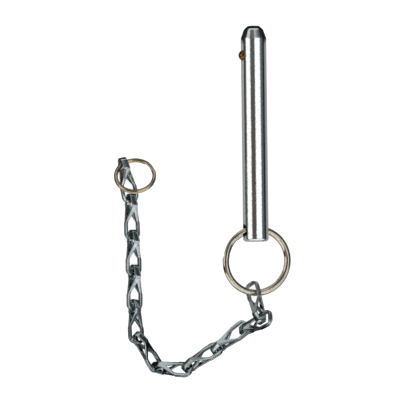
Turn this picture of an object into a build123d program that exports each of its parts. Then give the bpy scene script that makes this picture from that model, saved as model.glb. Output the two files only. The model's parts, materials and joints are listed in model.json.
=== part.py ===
"""Height adjustment pin: a spring-ball detent pin with a pull ring and a folded-link keeper chain.

All sizes are in millimetres. The shank lies along +Y with its nose at +Y, and +Z is up. The origin
is on the shank's axis, where its clear length starts, just past the cross hole. The pin lies on its
side, with the chain laid out beside it on the same surface.
"""

import os
from math import asin, atan2, cos, hypot, pi, radians, sin, sqrt

from build123d import *

os.makedirs("parts", exist_ok=True)

# Shank
shank_diameter = 12.7
shank_length = 107.4
clear_start = 10.0  # from the plain end to the start of the clear length
plain_end_radius = 1.6
nose_tip_diameter = 5.8
nose_shoulder_diameter = 9.6
nose_tip_height = 1.8
nose_length = 6.2
nose_edge_break = 0.5

# Cross hole for the pull ring, and the detent ball in its blind bore
cross_hole_diameter = 6.5
cross_hole_from_end = 5.5
cross_hole_tilt = 19.0  # above the horizontal, on the left
ball_diameter = 5.2
ball_stand_out = 1.6
ball_from_tip = 14.7
ball_clearance = 0.1  # all round the ball in its bore
mouth_depth = 0.45  # the dished mouth, down to the staked lip
mouth_diameter = 6.6
lip_clearance = 0.05
lip_thickness = 0.1
ball_bore_depth = 9.6

# Detent spring
spring_wire = 0.6
spring_turns = 3.0
spring_seat_gap = 0.05

# Split rings: two turns of flattened wire
pull_ring_diameter = 34.9
pull_ring_wire_width = 3.1
pull_ring_wire_thickness = 1.15
end_ring_diameter = 21.0
end_ring_wire_width = 1.9
end_ring_wire_thickness = 0.8
coil_gap = 0.06
joggle_angle = 34.0
wire_end_gap = 3.0  # degrees, between a wire end and the joggle

# How the pull ring hangs in the cross hole (degrees)
pull_ring_tilt = 13.5  # left side up
pull_ring_drop = 3.5  # far side down
pull_ring_yaw = 2.5
pull_ring_joggle_at = 134.0
hang_angle = -99.0  # where the first link hangs on the ring
hang_seat = 17.7  # from the first link's fold to the ring's wire

# How the end ring leans on the chain (degrees)
end_ring_lean = 35.0
end_ring_hook_angle = 129.0  # where the last link's fold holds the ring
end_ring_seat = 3.6  # from the last link's fold to the ring's wire
end_ring_joggle_at = 20.0

# Chain link: one flat stamping, folded at its head
strip_thickness = 0.9
link_length = 23.4
head_width = 3.3
waist_length = 7.5
eye_width = 8.6
flare_length = 8.0
tail_radius = 3.3
side_strip = 1.45
end_bar = 1.6
eye_start = 9.5
eye_flare = 5.7
fold_radius = 2.0
crease_radius = 0.9
crease_length = 6.0
crease_depth = 3.2
neck_length = 14.2
leg_gap = 0.1

# How the chain lies, link by link from the pull ring: heading, rise of the tail and roll (degrees),
# then the seat of the next link's bar in this link's fold, and how far round that bar from the
# middle of its end this link hooks on (mm, towards its left side)
chain_lay = [
    (104.0, -25.5, 41.5, 5.0, 10.2),
    (29.5, 41.5, 39.0, 6.2, -1.8),
    (37.5, 4.0, 32.0, 5.0, 0.0),
    (31.0, -18.0, 43.0, 5.1, 3.7),
    (-3.5, 27.0, 43.0, 4.7, 1.0),
    (-60.0, -17.0, 45.5, 5.7, 2.8),
    (-87.0, 20.0, 35.5, 5.4, 0.1),
    (-90.5, 3.0, 35.0, 5.2, 0.5),
    (-90.0, 1.5, 35.5, 4.6, 0.6),
    (-89.0, 1.0, 36.0, 4.1, 0.0),
    (-78.5, 0.0, 28.0, 0.0, 0.6),
]

shank_radius = shank_diameter / 2
plain_end_y = -clear_start
nose_y = plain_end_y + shank_length


def side_direction(angle):
    """Horizontal, to the left, raised by angle."""
    return Vector(-cos(radians(angle)), 0, sin(radians(angle)))


def bore_plane(y, outward):
    """A plane across a side bore, with its origin on the shank's axis."""
    return Plane(origin=(0, y, 0), x_dir=(0, 1, 0), z_dir=outward)


# %% Pin body
ball_radius = ball_diameter / 2
ball_y = nose_y - ball_from_tip
ball_centre_height = shank_radius + ball_stand_out - ball_radius
ball_axis = side_direction(cross_hole_tilt)
lip_height = shank_radius - mouth_depth
lip_rise = lip_height - ball_centre_height
lip_radius = sqrt(ball_radius**2 - lip_rise**2) + lip_clearance
bore_radius = ball_radius + ball_clearance
bore_bottom = shank_radius - ball_bore_depth
cross_hole_y = plain_end_y + cross_hole_from_end
cross_hole_axis = side_direction(cross_hole_tilt)

with BuildPart() as pin_body:
    with BuildSketch() as shank_profile:
        with BuildLine():
            Polyline(
                (0, plain_end_y),
                (shank_radius, plain_end_y),
                (shank_radius, nose_y - nose_length),
                (nose_shoulder_diameter / 2, nose_y - nose_tip_height),
                (nose_tip_diameter / 2, nose_y),
                (0, nose_y),
                close=True,
            )
        make_face()
        corners = shank_profile.vertices().filter_by(lambda corner: corner.X > 1)
        fillet(corners.sort_by(Axis.Y)[0], radius=plain_end_radius)
        corners = shank_profile.vertices().filter_by(lambda corner: corner.X > 1)
        chamfer(corners.sort_by(Axis.Y)[-3:], length=nose_edge_break)
    revolve(axis=Axis.Y)

    with BuildSketch(bore_plane(cross_hole_y, cross_hole_axis)):
        Circle(cross_hole_diameter / 2)
    extrude(amount=shank_diameter, both=True, mode=Mode.SUBTRACT)

    with BuildSketch(Plane(origin=(0, ball_y, 0), x_dir=(0, 1, 0), z_dir=Vector(0, 1, 0).cross(ball_axis))):
        with BuildLine():
            Polyline(
                (0, bore_bottom),
                (bore_radius, bore_bottom),
                (bore_radius, ball_centre_height),
                (lip_radius, lip_height - lip_thickness),
                (lip_radius, lip_height),
                (mouth_diameter / 2, shank_radius),
                (mouth_diameter / 2, shank_diameter),
                (0, shank_diameter),
                close=True,
            )
        make_face()
    revolve(axis=Axis((0, ball_y, 0), ball_axis), mode=Mode.SUBTRACT)
pin_body.part.label = "pin_body"
export_step(pin_body.part, "parts/pin_body.step")

# %% Detent ball
with BuildPart() as detent_ball:
    ball_centre = Vector(0, ball_y, 0) + ball_axis * ball_centre_height
    with Locations(ball_centre):
        Sphere(ball_radius)
detent_ball.part.label = "detent_ball"
export_step(detent_ball.part, "parts/detent_ball.step")

# %% Detent spring, between the bore's floor and the ball
spring_radius = (ball_diameter - 2 * spring_wire) / 2 - ball_clearance
ball_underside = ball_centre_height - sqrt(ball_radius**2 - spring_radius**2)
spring_foot = bore_bottom + spring_wire / 2 + spring_seat_gap
spring_head = ball_underside - spring_wire - spring_seat_gap
spring_height = spring_head - spring_foot
spring_frame = Plane(
    origin=Vector(0, ball_y, 0) + ball_axis * spring_foot, x_dir=(0, 1, 0), z_dir=ball_axis
)

with BuildPart() as coil:
    with BuildLine() as coil_line:
        Helix(pitch=spring_height / spring_turns, height=spring_height, radius=spring_radius)
    with BuildSketch(Plane(origin=coil_line.line @ 0, z_dir=coil_line.line % 0)):
        Rectangle(spring_wire, spring_wire)
    sweep(path=coil_line.line, is_frenet=True)
detent_spring = coil.part.moved(spring_frame.location)
detent_spring.label = "detent_spring"
export_step(detent_spring, "parts/detent_spring.step")


# %% Split rings
def split_ring(outer_diameter, wire_width, wire_thickness, joggle_at):
    """Two turns of flattened wire, side by side, joined by one joggle from the lower to the upper."""
    mean_radius = (outer_diameter - wire_width) / 2
    level = (wire_thickness + coil_gap) / 2

    def wire_section(angle, height):
        """The wire's section where it passes the given angle of the ring."""
        turn = radians(joggle_at + angle)
        radial = Vector(cos(turn), sin(turn), 0)
        across = Plane(origin=radial * mean_radius + Vector(0, 0, height), x_dir=radial,
                       z_dir=radial.cross(Vector(0, 0, 1)))
        with BuildSketch(across) as section:
            Rectangle(wire_width, wire_thickness)
        return section.sketch

    with BuildPart() as ring:
        full_turn = 360 - joggle_angle - wire_end_gap
        revolve(wire_section(joggle_angle + wire_end_gap, -level), Axis.Z, full_turn)
        revolve(wire_section(joggle_angle, level), Axis.Z, full_turn)
        steps = 5
        heights = [-level * cos(pi * step / steps) for step in range(steps + 1)]
        loft([wire_section(joggle_angle * step / steps, height) for step, height in enumerate(heights)])
    return ring.part


def ring_radius(outer_diameter, wire_width):
    """Radius of the ring's wire centreline."""
    return (outer_diameter - wire_width) / 2


hole_centre = Vector(0, cross_hole_y, 0)
pull_radius = ring_radius(pull_ring_diameter, pull_ring_wire_width)
bow_in_hole = pull_radius - sqrt(pull_radius**2 - shank_radius**2)
ring_turn = Rot(0, 0, pull_ring_yaw) * Rot(0, pull_ring_tilt, 0) * Rot(pull_ring_drop, 0, 0)
hang_frame = Pos(hole_centre) * ring_turn * Pos(0, bow_in_hole / 2 - pull_radius, 0)

pull_ring = hang_frame * split_ring(
    pull_ring_diameter, pull_ring_wire_width, pull_ring_wire_thickness, pull_ring_joggle_at
)
pull_ring.label = "pull_ring"
export_step(pull_ring, "parts/pull_ring.step")


# %% Folded chain link, lying along +X with its fold at the origin and its width along Z
neck_depth = (strip_thickness + leg_gap) / 2
past_tail = link_length + strip_thickness
fold_centre = strip_thickness + fold_radius
past_fold = crease_length - fold_centre
leg_spread = atan2(crease_depth, past_fold) - asin(fold_radius / hypot(past_fold, crease_depth))
fold_corner = fold_centre - fold_radius / sin(leg_spread)

with BuildSketch() as folded_line:
    with BuildLine():
        Polyline(
            (fold_corner, 0),
            (crease_length, crease_depth),
            (neck_length, neck_depth),
            (past_tail, neck_depth),
            (past_tail, -neck_depth),
            (neck_length, -neck_depth),
            (crease_length, -crease_depth),
            close=True,
        )
    make_face()
    bends = ((fold_corner, 1, fold_radius), (crease_length, 2, crease_radius))
    for length, count, radius in bends:
        near = folded_line.vertices().sort_by(lambda corner: abs(corner.X - length))
        fillet(near[:count], radius=radius)

with BuildPart() as link:
    with BuildSketch():
        offset(folded_line.sketch, amount=strip_thickness / 2, mode=Mode.ADD)
        offset(folded_line.sketch, amount=-strip_thickness / 2, mode=Mode.SUBTRACT)
    extrude(amount=eye_width, both=True)

    with BuildSketch(Plane.XZ) as outline:
        with BuildLine():
            Polyline(
                (-strip_thickness, -head_width / 2),
                (waist_length, -head_width / 2),
                (waist_length + flare_length, -eye_width / 2),
                (link_length, -eye_width / 2),
                (link_length, eye_width / 2),
                (waist_length + flare_length, eye_width / 2),
                (waist_length, head_width / 2),
                (-strip_thickness, head_width / 2),
                close=True,
            )
        make_face()
        fillet(outline.vertices().group_by(Axis.X)[-1], radius=tail_radius)
    extrude(amount=2 * crease_depth, both=True, mode=Mode.INTERSECT)

    with BuildSketch(Plane.XZ):
        eye_half = eye_width / 2 - side_strip
        with BuildLine():
            Polyline(
                (eye_start, 0),
                (eye_start + eye_flare, -eye_half),
                (link_length - end_bar, -eye_half),
                (link_length - end_bar, eye_half),
                (eye_start + eye_flare, eye_half),
                close=True,
            )
        make_face()
    extrude(amount=2 * crease_depth, both=True, mode=Mode.SUBTRACT)


# %% Laying the chain out
def direction(heading, rise):
    """Unit vector at a heading from +X, raised by rise."""
    level = cos(radians(rise))
    return Vector(cos(radians(heading)) * level, sin(radians(heading)) * level, sin(radians(rise)))


def lie(heading, rise, roll):
    """Along the link, from fold to tail, and across its width, from left to right."""
    along = direction(heading, rise)
    level_right = direction(heading - 90, 0)
    face_up = level_right.cross(along)
    return along, level_right * cos(radians(roll)) + face_up * sin(radians(roll))


def bar_point(hook):
    """Where a head hooks on a tail: (along, across), hook mm round the bar from its middle."""
    corner_radius = tail_radius - side_strip / 2
    across = eye_width / 2 - side_strip / 2
    along = link_length - end_bar / 2
    flat = across - corner_radius
    side = -1 if hook > 0 else 1
    turned = min(max(abs(hook) - flat, 0) / corner_radius, pi / 2)
    past = max(abs(hook) - flat - corner_radius * pi / 2, 0)
    return (
        along - corner_radius * (1 - cos(turned)) - past,
        side * (min(abs(hook), flat) + corner_radius * sin(turned)),
    )


hang_turn = radians(hang_angle)
hang_point = (hang_frame * Pos(pull_radius * cos(hang_turn), pull_radius * sin(hang_turn), 0)).position
link_planes = []
hold_point, hold_along, hold_across = hang_point, hang_seat, 0
for heading, rise, roll, seat, hook in chain_lay:
    along, across = lie(heading, rise, roll)
    fold_point = hold_point - along * hold_along - across * hold_across
    link_planes.append(Plane(origin=fold_point, x_dir=along, z_dir=across))
    hold_point = fold_point + along * seat
    hold_along, hold_across = bar_point(hook)

for number, link_plane in enumerate(link_planes, start=1):
    laid_link = link.part.moved(link_plane.location)
    laid_link.label = f"link_{number:02d}"
    export_step(laid_link, f"parts/link_{number:02d}.step")

# %% End ring, held in the last link's fold
end_radius = ring_radius(end_ring_diameter, end_ring_wire_width)
end_turn = radians(end_ring_hook_angle)
last_link = link_planes[-1]
end_ring_frame = (
    Pos(last_link.origin + last_link.x_dir * end_ring_seat)
    * Rot(-end_ring_lean, 0, 0)
    * Pos(-end_radius * cos(end_turn), -end_radius * sin(end_turn), 0)
)
end_ring = end_ring_frame * split_ring(
    end_ring_diameter, end_ring_wire_width, end_ring_wire_thickness, end_ring_joggle_at
)
end_ring.label = "end_ring"
export_step(end_ring, "parts/end_ring.step")
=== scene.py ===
# %% [markdown]
# A height adjustment pin: a zinc plated bar with a spring ball near its nose, a split ring
# through its other end, and a chain of folded strip links that ends in a small split ring.
# The solids come ready made, in metres, each already in its place. This lesson turns and drills
# the bar anew with finer ends, winds the two rings from domed wire, softens the links' edges,
# gives every piece a real finish, and sets up a small studio above them. Each new piece stands
# for its solid and rides on the same body, so that the joints still move it.

import json
import math

import bpy
from mathutils import Matrix, Vector


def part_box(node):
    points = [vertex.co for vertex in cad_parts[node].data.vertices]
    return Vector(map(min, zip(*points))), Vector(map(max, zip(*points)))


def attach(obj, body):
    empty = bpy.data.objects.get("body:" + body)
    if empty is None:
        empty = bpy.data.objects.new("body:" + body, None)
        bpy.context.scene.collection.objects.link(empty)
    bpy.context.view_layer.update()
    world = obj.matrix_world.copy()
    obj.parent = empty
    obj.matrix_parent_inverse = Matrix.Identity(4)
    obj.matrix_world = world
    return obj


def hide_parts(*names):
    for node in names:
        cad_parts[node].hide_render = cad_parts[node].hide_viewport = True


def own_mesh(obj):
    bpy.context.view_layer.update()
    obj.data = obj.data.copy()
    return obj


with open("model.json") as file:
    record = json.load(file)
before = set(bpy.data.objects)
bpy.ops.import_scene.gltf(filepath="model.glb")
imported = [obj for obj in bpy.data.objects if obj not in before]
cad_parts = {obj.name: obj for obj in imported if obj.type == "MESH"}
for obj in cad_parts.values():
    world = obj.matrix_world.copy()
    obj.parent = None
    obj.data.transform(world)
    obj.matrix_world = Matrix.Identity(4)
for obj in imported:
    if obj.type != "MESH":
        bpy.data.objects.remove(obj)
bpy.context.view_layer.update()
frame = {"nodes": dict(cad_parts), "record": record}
MM = 0.001
links = sorted(name for name in frame["nodes"] if name.startswith("link_"))


# %% [markdown]
# Three helpers carry all the materials. One turns a hex colour, as a paint chart gives it, into
# the linear numbers that the shader wants. One adds a node with its settings and links, and one
# starts an empty material. Nodes could also be placed by hand in the Shader Editor. In code, a
# line or two for each node keeps the whole finish in view, and serves every metal here.
# %% Helpers for finishes
def linear(hex_colour):
    """An sRGB hex colour as linear red, green, blue and a full alpha."""
    parts = [int(hex_colour[i : i + 2], 16) / 255 for i in (1, 3, 5)]
    return [p / 12.92 if p <= 0.04045 else ((p + 0.055) / 1.055) ** 2.4 for p in parts] + [1.0]


def add_node(tree, kind, settings=(), **inputs):
    """Adds a node. Input _2 is socket number 2. A socket is linked, and anything else is a value."""
    node = tree.nodes.new("ShaderNode" + kind)
    for name, value in dict(settings).items():
        setattr(node, name, value)
    for name, value in inputs.items():
        socket = node.inputs[int(name[1:])] if name[0] == "_" else node.inputs[name.replace("_", " ")]
        if isinstance(value, bpy.types.NodeSocket):
            tree.links.new(value, socket)
        else:
            socket.default_value = value
    return node


def new_material(name):
    """A material with an empty node tree."""
    material = bpy.data.materials.new(name)
    material.use_nodes = True
    material.node_tree.nodes.clear()
    return material, material.node_tree


print("mid grey in linear light:", [round(part, 3) for part in linear("#808080")])

# %% [markdown]
# Bright zinc and nickel plate are thin metal layers on turned, rolled or drawn steel. They mirror
# the room, but their crystals break each reflection's edge into a fine, uneven line. A scanned
# picture of plate could be laid on them. Noise in the shader is chosen, because it has no seams
# and keeps its size on every piece. So the metal is smooth, with a shallow bump for its grain,
# clouds of slightly rougher plate over it, and a faint change of tint. Real crystals are far too
# fine to see from this height, so the grain is drawn at 0.5 to 1.2 mm, as coarse as it needs to
# be to show. Distances become a scale by one rule: noise repeats about once in 1 / scale metres.
# %% A plated metal
# Noise keeps close to 0.5, so a narrow range around it is stretched to its full contrast
grain_low, grain_high = 0.35, 0.65
cloud_low, cloud_high = 0.3, 0.7
# The clearest and the dullest clouds, as shares of the metal's roughness
clearest, dullest = 0.75, 1.3


def plated_metal(name, light, dark, roughness, grain_mm, grain_depth_mm, cloud_mm):
    """Polished plate over steel: clouds of tint and roughness, and a fine grain in its surface."""
    material, tree = new_material(name)
    place = add_node(tree, "TexCoord").outputs["Object"]
    clouds = add_node(tree, "TexNoise", Vector=place, Scale=1 / (cloud_mm * MM), Detail=3.0).outputs["Fac"]
    grain = add_node(tree, "TexNoise", Vector=place, Scale=1 / (grain_mm * MM), Detail=2.0).outputs["Fac"]
    speckle = add_node(
        tree, "MapRange", Value=grain, From_Min=grain_low, From_Max=grain_high
    ).outputs["Result"]
    mixed = add_node(tree, "Math", {"operation": "MULTIPLY"}, _0=speckle, _1=clouds).outputs["Value"]
    tint = add_node(
        tree, "Mix", {"data_type": "RGBA"}, _0=mixed, _6=linear(light), _7=linear(dark)
    ).outputs[2]
    rough = add_node(
        tree, "MapRange", Value=clouds, From_Min=cloud_low, From_Max=cloud_high,
        To_Min=roughness * clearest, To_Max=roughness * dullest,
    ).outputs["Result"]
    bump = add_node(
        tree, "Bump", Height=grain, Distance=grain_depth_mm * MM, Strength=1.0
    ).outputs["Normal"]
    shader = add_node(
        tree, "BsdfPrincipled", Base_Color=tint, Metallic=1.0, Roughness=rough, Normal=bump
    ).outputs["BSDF"]
    add_node(tree, "OutputMaterial", Surface=shader)
    return material


print("noise scale for a grain of 0.8 mm:", round(1 / (0.8 * MM)))

# %% [markdown]
# Each finish is one call, with its two tints, its roughness, and the sizes of its grain and
# clouds. The tints start from the metal, a cool grey for zinc and a warm, yellowish one for
# nickel, and the roughness from polished plate, about 0.05 to 0.15. Wire that was only drawn
# through a die is duller.
# %% The finishes
# Zinc over a turned bar gives the eye an almost white mirror whose stripes have grainy edges
bar_zinc = plated_metal(
    "bright_zinc_on_turned_bar", "#FBFCFC", "#DADDDE", 0.12, grain_mm=0.8, grain_depth_mm=0.028, cloud_mm=4
)
# Zinc over pressed strip gives a cooler and darker grey, in soft clouds
strip_zinc = plated_metal(
    "zinc_on_pressed_strip", "#CFD8DB", "#8F9BA0", 0.11, grain_mm=0.8, grain_depth_mm=0.01, cloud_mm=3
)
# Nickel over flattened wire gives a warm and very clear mirror
ring_nickel = plated_metal(
    "nickel_on_flattened_wire", "#E2D8C6", "#7D705C", 0.05, grain_mm=0.6, grain_depth_mm=0.003, cloud_mm=5
)
# Nickel on the small ring's finer wire gives a more yellow mirror, as the plate gets with age
small_ring_nickel = plated_metal(
    "nickel_on_fine_wire", "#DAC6A6", "#73603F", 0.05, grain_mm=0.6, grain_depth_mm=0.003, cloud_mm=4
)
# Bearing steel that was tinted by heat gives a dark brown mirror
ball_steel = plated_metal(
    "heat_tinted_bearing_steel", "#96693A", "#1E120A", 0.04, grain_mm=1.2, grain_depth_mm=0.002, cloud_mm=2
)
# Bare drawn wire gives a plain grey with soft highlights
spring_steel = plated_metal(
    "drawn_spring_wire", "#A9A9AA", "#77787A", 0.3, grain_mm=0.5, grain_depth_mm=0.006, cloud_mm=3
)
finishes = (bar_zinc, strip_zinc, ring_nickel, small_ring_nickel, ball_steel, spring_steel)
print("finishes:", [finish.name for finish in finishes])


# %% [markdown]
# An operator acts on all that is selected, and the loaded solids are selected, so each step
# first selects its own piece alone. A solid's mesh comes as loose triangles. Their points are
# merged before anything else, because a bevel only finds an edge that two faces share.
# %% Helpers for meshes
merge_distance = 0.0005 * MM


def deselect_all():
    """Nothing selected, so that the next operator acts only on what is chosen for it."""
    for thing in bpy.context.selected_objects:
        thing.select_set(False)


def choose(piece):
    """Selects one piece alone and makes it the active one."""
    deselect_all()
    piece.select_set(True)
    bpy.context.view_layer.objects.active = piece


def close_seams(piece, flat_within=0):
    """Merges a mesh's doubled points, joins faces that lie within an angle, and faces it outwards."""
    choose(piece)
    bpy.ops.object.mode_set(mode="EDIT")
    bpy.ops.mesh.select_all(action="SELECT")
    bpy.ops.mesh.remove_doubles(threshold=merge_distance)
    if flat_within:
        bpy.ops.mesh.dissolve_limited(angle_limit=flat_within)
    bpy.ops.mesh.normals_make_consistent(inside=False)
    bpy.ops.object.mode_set(mode="OBJECT")


deselect_all()
print("selected:", len(bpy.context.selected_objects))


# %% [markdown]
# A real pressed or rolled edge is never sharp: it has a small round that catches the light as a
# thin bright line. A subdivision surface could round the solids' edges, but it would also take
# the flatness out of the strip. So each solid is copied, and a bevel rounds the copy's edges and
# leaves the flat faces flat.
# %% Softening the edges of a solid
round_segments = 3
same_face = math.radians(1)  # triangles that turn less than this are one face
sharp_edge = math.radians(35)  # edges that turn more than this are rounded
smooth_turn = math.radians(32)  # faces that turn less than this are shaded as one


def softened(node_name, piece_name, finish, edge_mm):
    """A copy of a solid with its sharp edges rounded, its finish on, standing for the solid."""
    solid = frame["nodes"][node_name]
    piece = solid.copy()
    piece.data = solid.data.copy()
    piece.name = piece.data.name = piece_name
    # The copy drops the solid's labels and parent, and is put on its body below
    for key in list(piece.keys()):
        del piece[key]
    piece.parent = None
    bpy.context.scene.collection.objects.link(piece)
    close_seams(piece, flat_within=same_face)
    if edge_mm:
        rounding = piece.modifiers.new("edge_rounding", "BEVEL")
        rounding.width = edge_mm * MM
        rounding.segments = round_segments
        rounding.limit_method = "ANGLE"
        rounding.angle_limit = sharp_edge
        bpy.ops.object.modifier_apply(modifier="edge_rounding")
    bpy.ops.object.shade_smooth_by_angle(angle=smooth_turn)
    piece.data.materials.clear()
    piece.data.materials.append(finish)
    bodies = frame["record"]["behaviour"]["bodies"]
    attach(piece, next(body for body, nodes in bodies.items() if node_name in nodes))
    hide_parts(node_name)
    print(piece.name, "faces:", len(piece.data.polygons))
    return piece


print("edges that turn more than", round(math.degrees(sharp_edge)), "degrees get a round")

# %% [markdown]
# The pin itself is one turned bar. It could be a profile spun round its axis, or a cylinder that
# is drawn out at its ends. The cylinder is chosen, because the bar's long middle needs no
# profile: an end face is extruded a little along the bar and scaled, once for every station, as
# a lathe tool steps in. The nose keeps crisp edges between its cones, and the plain end's edge is
# a quarter round.
# %% Stations of the two ends
shank = next(mount for mount in frame["record"]["mounts"] if mount["name"] == "shank")
shank_radius = shank["dims"]["r_mm"]
plain_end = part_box("pin_body")[0][1] / MM
nose_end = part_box("pin_body")[1][1] / MM
# A station is (distance from the end, radius), in mm
nose_stations = [(6.5, shank_radius), (5.92, 6.25), (2.13, 4.92), (1.56, 4.55), (0.28, 3.19), (0.0, 2.75)]
end_round = 1.6
round_steps = 12
quarter = [math.radians(90 * step / round_steps) for step in range(1, round_steps + 1)]
plain_stations = [
    (end_round * (1 - math.sin(angle)), shank_radius - end_round * (1 - math.cos(angle)))
    for angle in quarter
]
print("stations:", len(nose_stations), "at the nose,", len(plain_stations), "at the plain end")


# %% [markdown]
# Drawing out works on one face. The cap that looks towards the end is found by its place, the
# furthest along the bar, and each extrusion leaves the new cap selected for the next.
# %% Drawing out an end
def draw_out(piece, end_y, towards, stations):
    """Extrudes the end face through stations of (distance from the end, radius), in mm."""
    choose(piece)
    bpy.ops.object.mode_set(mode="EDIT")
    bpy.ops.mesh.select_mode(type="FACE")
    bpy.ops.mesh.select_all(action="DESELECT")
    bpy.ops.object.mode_set(mode="OBJECT")
    cap = max(piece.data.polygons, key=lambda face: face.center.y * towards)
    cap.select = True
    here, radius = cap.center.y / MM, shank_radius
    bpy.ops.object.mode_set(mode="EDIT")
    for distance, station_radius in stations:
        station_y = end_y - towards * distance
        bpy.ops.mesh.extrude_region_move(
            TRANSFORM_OT_translate={"value": (0, (station_y - here) * MM, 0), "orient_type": "GLOBAL"}
        )
        scale = station_radius / radius
        bpy.ops.transform.resize(value=(scale, 1, scale), center_override=(0, station_y * MM, 0))
        here, radius = station_y, station_radius
    bpy.ops.object.mode_set(mode="OBJECT")


bar_sides = 96
bar_start = plain_end + end_round
bar_stop = nose_end - nose_stations[0][0]
deselect_all()
bpy.ops.mesh.primitive_cylinder_add(
    vertices=bar_sides, radius=shank_radius * MM, depth=(bar_stop - bar_start) * MM,
    location=(0, (bar_start + bar_stop) / 2 * MM, 0), rotation=(math.radians(90), 0, 0),
)
pin = bpy.context.object
pin.name = pin.data.name = "pin_bar"
bpy.ops.object.transform_apply(location=True, rotation=True, scale=True)
draw_out(pin, nose_end, 1, nose_stations[1:])
draw_out(pin, plain_end, -1, plain_stations)
print("bar:", [round(size / MM, 2) for size in pin.dimensions], "faces:", len(pin.data.polygons))

# %% [markdown]
# The cross hole and the ball's bore are drilled after turning. Their rims could be built into
# the mesh by hand, but a Boolean cut with the drill's own shape finds the true line where two
# round forms meet. The drills are cylinders and a cone, all leaning at the angle that the hole
# and the bore share. The cone leaves the dished mouth whose lip was pressed in to keep the ball.
# %% Drilling
drill_tilt = 19  # degrees that the ball looks up, to the left of the bar
drill_turn = Matrix.Rotation(math.radians(drill_tilt - 90), 4, "Y")
drill_sides = 64
hole_from_end, ball_from_nose = 5.5, 14.7
hole_y = plain_end + hole_from_end
ball_y = nose_end - ball_from_nose


def drill(kind, y, low, high, low_radius, high_radius):
    """Cuts the pin with a cylinder or cone from low to high along the drill's axis, in mm."""
    deselect_all()
    bpy.ops.mesh.primitive_cone_add(
        vertices=drill_sides, radius1=low_radius * MM, radius2=high_radius * MM, depth=(high - low) * MM,
        location=(0, 0, (low + high) / 2 * MM),
    )
    cutter = bpy.context.object
    bpy.ops.object.transform_apply(location=True, rotation=True, scale=True)
    cutter.data.transform(Matrix.Translation((0, y * MM, 0)) @ drill_turn)
    cut = pin.modifiers.new(kind, "BOOLEAN")
    cut.operation = "DIFFERENCE"
    cut.solver = "EXACT"
    cut.object = cutter
    choose(pin)
    bpy.ops.object.modifier_apply(modifier=kind)
    bpy.data.objects.remove(cutter)
    print(kind, "cut, faces:", len(pin.data.polygons))


# %% [markdown]
# The cross hole goes right through, so its drill is longer than the bar is thick. The bore is
# blind, with its floor past the bar's middle, and just reaches into the mouth's narrow end, which
# leaves the lip. Shading then needs one angle that tells a round from a corner: the plain end's
# round turns 7.5 degrees at each step, and the nose's cones meet at 9.5 degrees or more.
# %% Holes and finish of the bar
past_the_bar = 12
hole_radius = 3.25
bore_floor, bore_top, bore_radius = -3.25, 5.85, 2.7
mouth_floor, mouth_top, lip_radius, mouth_radius = 5.8, 6.9, 2.52, 4.04
drill("cross_hole", hole_y, -past_the_bar, past_the_bar, hole_radius, hole_radius)
drill("ball_bore", ball_y, bore_floor, bore_top, bore_radius, bore_radius)
drill("bore_mouth", ball_y, mouth_floor, mouth_top, lip_radius, mouth_radius)
corner_turn = math.radians(8.5)
bpy.ops.object.shade_smooth_by_angle(angle=corner_turn)
pin.data.materials.append(bar_zinc)
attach(pin, "pin")
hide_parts("pin_body")
print("bar drilled at", round(hole_y, 2), "and", round(ball_y, 2), "mm along")

# %% [markdown]
# The ball and its spring need no new shape, only smooth shading and their own steels. The spring gets a
# mesh of its own.
# %% Ball and spring
softened("detent_ball", "ball", ball_steel, edge_mm=0)
spring = softened("detent_spring", "coil_spring", spring_steel, edge_mm=0)
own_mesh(spring)


# %% [markdown]
# A split ring is wire wound twice round, so that a thing can be slid in between its turns. This
# wire was rolled flat on one side and domed on the other, and the dome gives the ring its bright
# lines between dark ones. A bevel can't dome the solid's flat face, and two plain hoops would
# have no way in. So the wire is swept anew: a closed section runs along two turns that lie one
# on the other, with one joggle that climbs from the lower to the upper. The ring's place and
# size are measured first.
# %% Measuring a ring
def ring_frame(node_name):
    """The ring's turn and centre from its mount, and its radii and half height from its solid."""
    mount = next(m for m in frame["record"]["mounts"] if m["name"] == node_name)
    centre, axis = Vector(mount["pos_m"]), Vector(mount["axis"]).normalized()
    right = (Vector((1, 0, 0)) - axis * axis.x).normalized()
    away = axis.cross(right)
    spots = [v.co - centre for v in frame["nodes"][node_name].data.vertices]
    reach = [math.hypot(spot.dot(right), spot.dot(away)) for spot in spots]
    half_height = max(spot.dot(axis) for spot in spots)
    return Matrix((right, away, axis)).transposed().to_4x4(), centre, min(reach), max(reach), half_height


for ring in ("pull_ring", "end_ring"):
    inner, outer = ring_frame(ring)[2:4]
    print(ring, "inner and outer radius:", round(inner / MM, 2), round(outer / MM, 2), "mm")

# %% [markdown]
# The section could be a half circle, but rolled wire is flatter, with rounded edges and a low
# dome. A superellipse draws such a dome with one number for its fullness, and two more points
# close it with a flat side.
# %% The wire's section
dome_steps = 32
fullness = 1.55  # 2 is an ellipse, and a lower number is leaner towards the wire's edges
dome_rise, dome_foot = 0.9, 0.4  # the dome's height, and its foot below the middle, per thickness
flat_share = 0.95  # the flat side's part of the wire's width


def wire_section(piece_name, half_width, thickness):
    """The wire's section as a closed curve, with its dome up."""
    section = bpy.data.curves.new(piece_name + "_section", "CURVE")
    section.dimensions = "2D"
    loop = section.splines.new("POLY")
    loop.points.add(dome_steps + 2)
    for number, point in enumerate(loop.points):
        angle = math.pi * min(number, dome_steps) / dome_steps
        across = math.copysign(abs(math.cos(angle)) ** (2 / fullness), math.cos(angle))
        up = dome_rise * math.sin(angle) ** (2 / fullness) - dome_foot
        point.co = (half_width * across, thickness * up, 0, 1)
    loop.points[-2].co = (-flat_share * half_width, -thickness / 2, 0, 1)
    loop.points[-1].co = (flat_share * half_width, -thickness / 2, 0, 1)
    loop.use_cyclic_u = True
    profile = bpy.data.objects.new(piece_name + "_section", section)
    bpy.context.scene.collection.objects.link(profile)
    return profile


print("points in the section:", dome_steps + 3)

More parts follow.
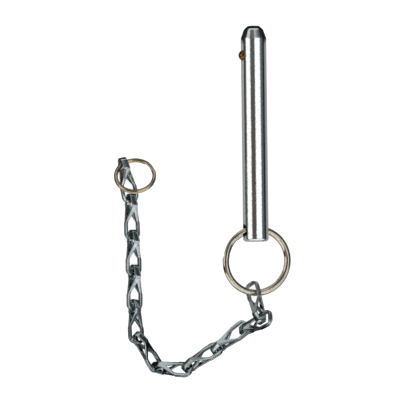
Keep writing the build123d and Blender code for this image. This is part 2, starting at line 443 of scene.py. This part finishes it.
# %% [markdown]
# The route is worked out by its angle. It stays low for nearly one turn, climbs along half a
# cosine wave in the joggle, and stays high for nearly another. Each end of the wire stops a
# little short of the joggle, as on a real ring.
# %% The wire's route
route_steps = 240
joggle, end_gap = 34, 3  # degrees


def wire_route(piece_name, radius, level, joggle_at):
    """Two turns round the Z axis, low and then high, with the joggle from an angle in degrees on."""
    route = bpy.data.curves.new(piece_name, "CURVE")
    route.dimensions = "3D"
    route.twist_mode = "Z_UP"
    wire = route.splines.new("POLY")
    wire.points.add(route_steps)
    first, last = joggle + end_gap - 360, 360 - end_gap
    for number, point in enumerate(wire.points):
        angle = first + (last - first) * number / route_steps
        climb = min(max(angle / joggle, 0), 1)
        where = math.radians(joggle_at + angle)
        up = -level * math.cos(math.pi * climb)
        point.co = (radius * math.cos(where), radius * math.sin(where), up, 1)
    return route


print("length of the wire in turns:", round((720 - joggle - 2 * end_gap) / 360, 2))

# %% [markdown]
# A curve's bevel sweeps the section along the route. The curve is then made a mesh, and its
# place is applied, so that the ring lies where its solid does and its origin stays at zero.
# %% Winding the rings
coil_gap = 0.06 * MM
wire_smooth_turn = math.radians(40)


def wound_ring(node_name, piece_name, finish, joggle_at):
    """Two turns of domed wire with one joggle, standing for the ring's solid."""
    turn, centre, inner, outer, half_height = ring_frame(node_name)
    thickness = half_height - coil_gap / 2
    profile = wire_section(piece_name, (outer - inner) / 2, thickness)
    route = wire_route(piece_name, (inner + outer) / 2, half_height - thickness / 2, joggle_at)
    route.bevel_mode = "OBJECT"
    route.bevel_object = profile
    route.use_fill_caps = True
    piece = bpy.data.objects.new(piece_name, route)
    bpy.context.scene.collection.objects.link(piece)
    piece.matrix_world = Matrix.Translation(centre) @ turn
    choose(piece)
    bpy.ops.object.convert(target="MESH")
    piece = bpy.context.object
    bpy.ops.object.transform_apply(location=True, rotation=True, scale=True)
    close_seams(piece)
    bpy.ops.object.shade_smooth_by_angle(angle=wire_smooth_turn)
    bpy.data.objects.remove(profile)
    piece.data.materials.clear()
    piece.data.materials.append(finish)
    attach(piece, node_name)
    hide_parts(node_name)
    print(piece.name, "wire", round((outer - inner) / MM, 2), "by", round(thickness / MM, 2), "mm")
    return piece


wound_ring("pull_ring", "pull_ring_wire", ring_nickel, joggle_at=136)
wound_ring("end_ring", "end_ring_wire", small_ring_nickel, joggle_at=20)

# %% [markdown]
# Every chain link is pressed from the same strip and folded over at its head. A link could be
# drawn flat and folded here, but the solids already have their folds and hold each other, so
# only their edges want work. Blanking rolls one edge of the strip over and plating rounds the
# other, so all edges are soft.
# %% Chain links
strip_edge_mm = 0.2
chain = [softened(name, name + "_strip", strip_zinc, edge_mm=strip_edge_mm) for name in links]
print("chain of", len(chain), "links")

# %% [markdown]
# The studio is a white sweep in a bright room. Zinc and nickel look like what they mirror, so
# the room matters as much as the metal. It could be built of panels and lamps, but each of them
# would also change the plain light. So the room is drawn in the world's colour, by direction,
# and only mirrored rays see it. Plain light comes from the same world, white from all sides.
# The first node tells how a direction lies along the pin, and the next the angle around it.
# %% Directions in the room
world = bpy.data.worlds.new("studio")
bpy.context.scene.world = world
world.use_nodes = True
sky = world.node_tree
sky.nodes.clear()
toward = add_node(sky, "SeparateXYZ", Vector=add_node(sky, "TexCoord").outputs["Generated"]).outputs
around = add_node(sky, "Math", {"operation": "ARCTAN2"}, _0=toward["X"], _1=toward["Z"]).outputs["Value"]
around_share = add_node(
    sky, "MapRange", Value=around, From_Min=-math.pi, From_Max=math.pi
).outputs["Result"]
print("nodes in the world:", len(sky.nodes))

# %% [markdown]
# Beside the pin are two long white softboxes, one on each side above it, with a dim gap between
# them and darker walls beyond. Towards the nose the gap is a little greener. Past the nose comes a
# grey wall with two paler bands, and at the far end a pale grey one. Past the plain end comes a
# brownish gap with one bright strip, then one wide softbox across the top, and last a mid grey
# wall.
# %% Walls of the room
# Degrees around the pin from straight up, positive to the right, and the colour there
beside = [
    (-180, "#4A4C4B"), (-77, "#4E504F"), (-73, "#FFFFFF"), (-36, "#FFFFFF"),
    (-31, "#4E4842"), (5, "#4B4540"), (10, "#FFFFFF"), (55, "#FFFFFF"),
    (60, "#545C62"), (84, "#4A5359"), (88, "#080C0E"), (180, "#4A4C4B"),
]
beside_nose = [
    (-180, "#4A4C4B"), (-77, "#4E504F"), (-73, "#FFFFFF"), (-38, "#FFFFFF"),
    (-32, "#4C534E"), (6, "#4A514C"), (11, "#FFFFFF"), (50, "#FFFFFF"),
    (60, "#5B666C"), (84, "#4A5359"), (88, "#080C0E"), (180, "#4A4C4B"),
]
nose_end_wall = [
    (-180, "#2B2C2B"), (-78, "#333433"), (-72, "#C6C7C3"), (-46, "#C6C7C3"),
    (-40, "#55585A"), (2, "#5E6163"), (14, "#B4B8BA"), (28, "#8A8E90"),
    (62, "#4E5254"), (84, "#1C1E1F"), (180, "#2B2C2B"),
]
far_wall = [(-180, "#C2C8CA"), (-60, "#CDD2D4"), (60, "#CDD2D4"), (180, "#C2C8CA")]
plain_end_gap = [
    (-180, "#0E0F0F"), (-50, "#1C1A17"), (-38, "#8A8277"), (30, "#9A9186"),
    (46, "#5A534B"), (56, "#D8DCDD"), (84, "#D8DCDD"), (180, "#0E0F0F"),
]
plain_end_box = [
    (-180, "#0E0F0F"), (-86, "#141515"), (-78, "#FFFFFF"),
    (84, "#FFFFFF"), (90, "#0E0F0F"), (180, "#0E0F0F"),
]
plain_end_wall = [(-180, "#2A2C2D"), (-60, "#A9AEB0"), (60, "#A9AEB0"), (180, "#2A2C2D")]
print("colours beside the pin:", len(beside), "and at the nose:", len(nose_end_wall))


# %% [markdown]
# A colour ramp holds one wall's colours by angle. The walls follow one another along the pin, and
# each gives way to the next over a short stretch, so that no seam shows in the metal. They could
# be seven images, but ramps stay sharp and are easy to shift.
# %% Joining the walls
def fill_ramp(ramp, low, high, colours):
    """Sets a ramp's marks from (place, colour) pairs, with the places between low and high."""
    marks = ramp.color_ramp.elements
    marks[0].color = linear(colours[0][1])
    marks[-1].color = linear(colours[-1][1])
    for place, colour in colours[1:-1]:
        marks.new((place - low) / (high - low)).color = linear(colour)
    print("ramp marks:", len(marks))


def wall(colours):
    """The colours of one part of the room, by the angle around the pin."""
    ramp = add_node(sky, "ValToRGB", Fac=around_share)
    fill_ramp(ramp, -180, 180, colours)
    return ramp.outputs["Color"]


def joined(start, stop, near, far):
    """Goes from one wall to the next as a direction goes from start to stop along the pin."""
    share = add_node(sky, "MapRange", Value=toward["Y"], From_Min=start, From_Max=stop).outputs["Result"]
    return add_node(sky, "Mix", {"data_type": "RGBA"}, _0=share, _6=near, _7=far).outputs[2]


# -1 is straight past the plain end, 0 is straight up or to a side, and 1 is straight past the nose
walls = wall(plain_end_wall)
walls = joined(-0.9, -0.84, walls, wall(plain_end_box))
walls = joined(-0.5, -0.44, walls, wall(plain_end_gap))
walls = joined(-0.28, -0.2, walls, wall(beside))
walls = joined(0.0, 0.06, walls, wall(beside_nose))
walls = joined(0.26, 0.4, walls, wall(nose_end_wall))
walls = joined(0.76, 0.84, walls, wall(far_wall))

# %% [markdown]
# Light Path tells a mirrored ray from the others. The mirrored room is a little brighter than
# the plain light, because the plate gives back less than all of what meets it.
# %% World output
room_strength = 1.12
plain_strength = 1.0
path = add_node(sky, "LightPath").outputs
mirrored = add_node(sky, "Background", Color=walls, Strength=room_strength).outputs[0]
plain = add_node(sky, "Background", Color=linear("#FFFFFF"), Strength=plain_strength).outputs[0]
both = add_node(sky, "MixShader", _0=path["Is Glossy Ray"], _1=plain, _2=mirrored).outputs[0]
add_node(sky, "OutputWorld", Surface=both)
print("nodes in the world:", len(sky.nodes))

# %% [markdown]
# The floor is pure white to the eye and keeps only a faint shadow under the metal. A real white
# gives back less than all of its light and would come out a pale grey, and more light would also
# brighten the metal. So the floor glows a little, to the eye alone. In the metal's reflections it
# is a table top instead: pale grey under the pin, dark further to the left and past both its
# ends, and black further to the right, where it draws the dark line down the pin's right side.
# %% Floor
floor_size = 4
floor_glow = 0.6
table_reach = 100
# Millimetres to the right of the pin's axis, and the colour there
table_colours = [
    (-100, "#3C3E3E"), (-60, "#1C1E1F"), (-46, "#1C1E1F"), (-38, "#A6A9A5"), (14, "#A6A9A7"),
    (34, "#6E7577"), (46, "#4A5154"), (58, "#04080A"), (100, "#04080A"),
]
# Along the pin: the table's middle, half its length, and where it has faded out past its ends
table_middle, table_half, table_gone = 23 * MM, 66 * MM, 69 * MM
bpy.ops.mesh.primitive_plane_add(size=floor_size, location=(0, 0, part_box("pin_body")[0].z))
floor = bpy.context.object
floor.name = "floor"
white, tree = new_material("white_sweep")
path = add_node(tree, "LightPath").outputs
glow = add_node(
    tree, "Math", {"operation": "MULTIPLY"}, _0=path["Is Camera Ray"], _1=floor_glow
).outputs["Value"]
seen = add_node(tree, "Emission", Color=linear("#FFFFFF"), Strength=glow).outputs[0]
matt = add_node(tree, "BsdfDiffuse", Color=linear("#E3E3E3")).outputs[0]
lit = add_node(tree, "AddShader", _0=seen, _1=matt).outputs[0]
spot = add_node(tree, "SeparateXYZ", Vector=add_node(tree, "TexCoord").outputs["Object"]).outputs
across = add_node(
    tree, "MapRange", Value=spot["X"], From_Min=-table_reach * MM, From_Max=table_reach * MM
).outputs["Result"]
table = add_node(tree, "ValToRGB", Fac=across)
fill_ramp(table, -table_reach, table_reach, table_colours)
from_middle = add_node(
    tree, "Math", {"operation": "SUBTRACT"}, _0=spot["Y"], _1=table_middle
).outputs["Value"]
off_centre = add_node(tree, "Math", {"operation": "ABSOLUTE"}, _0=from_middle).outputs["Value"]
past_table = add_node(
    tree, "MapRange", Value=off_centre, From_Min=table_half, From_Max=table_gone
).outputs["Result"]
table_colour = add_node(
    tree, "Mix", {"data_type": "RGBA"}, _0=past_table, _6=table.outputs["Color"], _7=linear("#1C1E1F")
).outputs[2]
table_top = add_node(tree, "BsdfDiffuse", Color=table_colour).outputs[0]
sweep = add_node(tree, "MixShader", _0=path["Is Glossy Ray"], _1=lit, _2=table_top).outputs[0]
add_node(tree, "OutputMaterial", Surface=sweep)
floor.data.materials.append(white)
print("floor at", round(floor.location.z, 5))

# %% [markdown]
# One soft lamp leans over the pin's right side like half a roof, and shines up and outwards.
# The pin and the chain as they lie can't see its bright side, so it changes nothing on them. It
# only lights links that the joints lift above it, some of whose sides are nearly black without
# it. A point lamp would be simpler, but it would also light the floor and the pin.
# %% Chain lamp
lamp_width, lamp_length = 103 * MM, 150 * MM
lamp_distance = 75.5 * MM  # from the pin's axis to the lamp's middle
lamp_side = math.radians(55)  # from straight up to the lamp's middle, to the right around the pin
lamp_turn = math.radians(215)  # about the pin's length, so that the bright side looks up and out
lamp_strength = 1.0  # 1 looks white
panel = bpy.data.lights.new("chain_lamp", "AREA")
panel.shape = "RECTANGLE"
panel.size, panel.size_y = lamp_width, lamp_length
panel.energy = lamp_strength * math.pi * panel.size * panel.size_y
lamp = bpy.data.objects.new("chain_lamp", panel)
lamp.location = (lamp_distance * math.sin(lamp_side), 0, lamp_distance * math.cos(lamp_side))
lamp.rotation_euler = (0, lamp_turn, 0)
lamp.visible_camera = False
bpy.context.scene.collection.objects.link(lamp)
print("chain lamp at", [round(part, 4) for part in lamp.location], "power", round(panel.energy, 4))

# %% [markdown]
# The camera looks straight down on the pin, turned a hair so that the pin leans a little to the
# left. A short lens close by would make the raised links look larger than those that lie low.
# From 1.2 m a long lens shows them all at nearly one scale. Its length follows from the width
# that it should take in at the pin's distance.
# %% Camera
view_centre = (-27.6 * MM, 11.05 * MM)
view_width = 199.2 * MM
view_turn = math.radians(-0.69)
camera_height = 1.2
view_end = 20  # metres, well past the floor's corners
sensor_width = 36
lens = bpy.data.cameras.new("camera")
lens.sensor_width = sensor_width
lens.lens = sensor_width * camera_height / view_width
lens.clip_end = view_end
camera = bpy.data.objects.new("camera", lens)
camera.location = (*view_centre, camera_height)
camera.rotation_euler = (0, 0, view_turn)
bpy.context.scene.collection.objects.link(camera)
bpy.context.scene.camera = camera
bpy.context.scene.view_settings.view_transform = "Standard"
print("lens:", round(lens.lens, 1), "mm")
